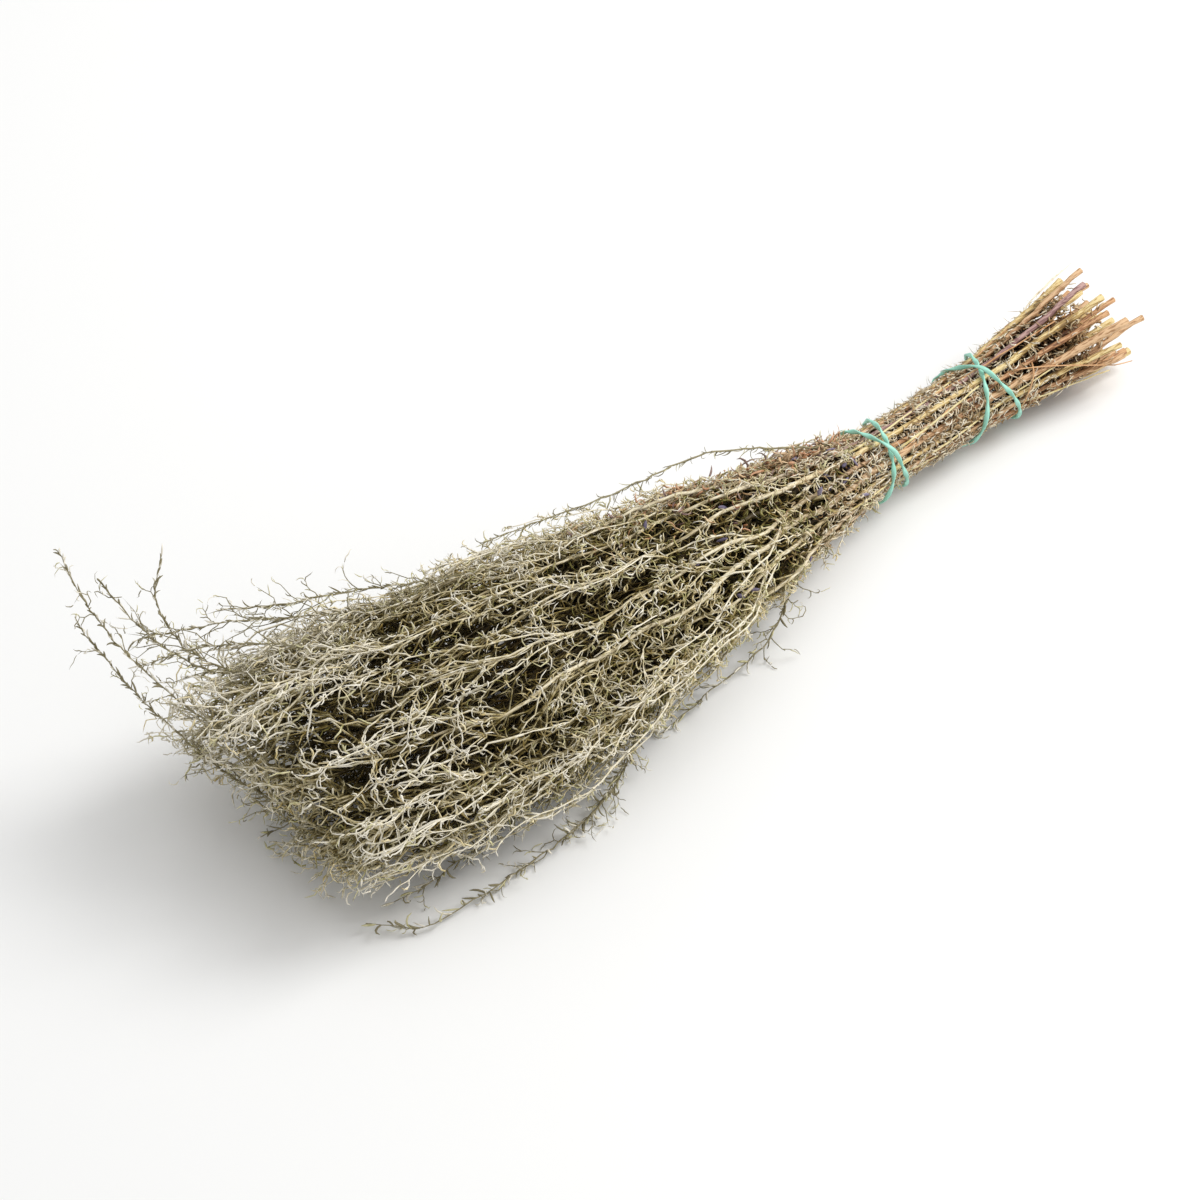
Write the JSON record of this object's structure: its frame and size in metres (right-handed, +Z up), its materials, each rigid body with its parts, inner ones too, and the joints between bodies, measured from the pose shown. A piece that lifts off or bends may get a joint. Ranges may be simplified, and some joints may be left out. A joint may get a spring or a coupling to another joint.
{
  "type": "bunch of dried wormwood",
  "caption": "Bunch of dried wormwood lying on its side: woody leafy sprigs held near their cut ends by two doubled rubber bands.",
  "frame": {"origin": "on the table, under the middle of the bunch's box", "axes": "+X along the bunch towards its cut ends, its leafy tips at -X; +Z up from the table"},
  "size_m": [0.478, 0.1561, 0.1177],
  "materials": {
    "dry_wormwood": "matte dried stems and leaves, straw, grey-olive and brown",
    "mint_rubber": "satin mint-green rubber"
  },
  "bodies": {
    "root": {"sprig_01": "dry_wormwood", "sprig_02": "dry_wormwood", "sprig_03": "dry_wormwood", "sprig_04": "dry_wormwood", "sprig_05": "dry_wormwood", "sprig_06": "dry_wormwood", "sprig_07": "dry_wormwood", "sprig_08": "dry_wormwood", "sprig_09": "dry_wormwood", "sprig_10": "dry_wormwood", "sprig_11": "dry_wormwood", "sprig_12": "dry_wormwood", "sprig_13": "dry_wormwood", "sprig_14": "dry_wormwood", "sprig_15": "dry_wormwood", "sprig_16": "dry_wormwood", "sprig_17": "dry_wormwood", "sprig_18": "dry_wormwood", "sprig_19": "dry_wormwood", "sprig_20": "dry_wormwood", "sprig_21": "dry_wormwood", "sprig_22": "dry_wormwood", "sprig_23": "dry_wormwood", "sprig_24": "dry_wormwood", "sprig_25": "dry_wormwood", "sprig_26": "dry_wormwood", "sprig_27": "dry_wormwood", "sprig_28": "dry_wormwood", "sprig_29": "dry_wormwood", "sprig_30": "dry_wormwood", "sprig_31": "dry_wormwood", "sprig_32": "dry_wormwood", "sprig_33": "dry_wormwood", "sprig_34": "dry_wormwood", "sprig_35": "dry_wormwood", "sprig_36": "dry_wormwood", "sprig_37": "dry_wormwood", "rubber_band_cut_end": "mint_rubber", "rubber_band_head": "mint_rubber"}
  },
  "joints": []
}
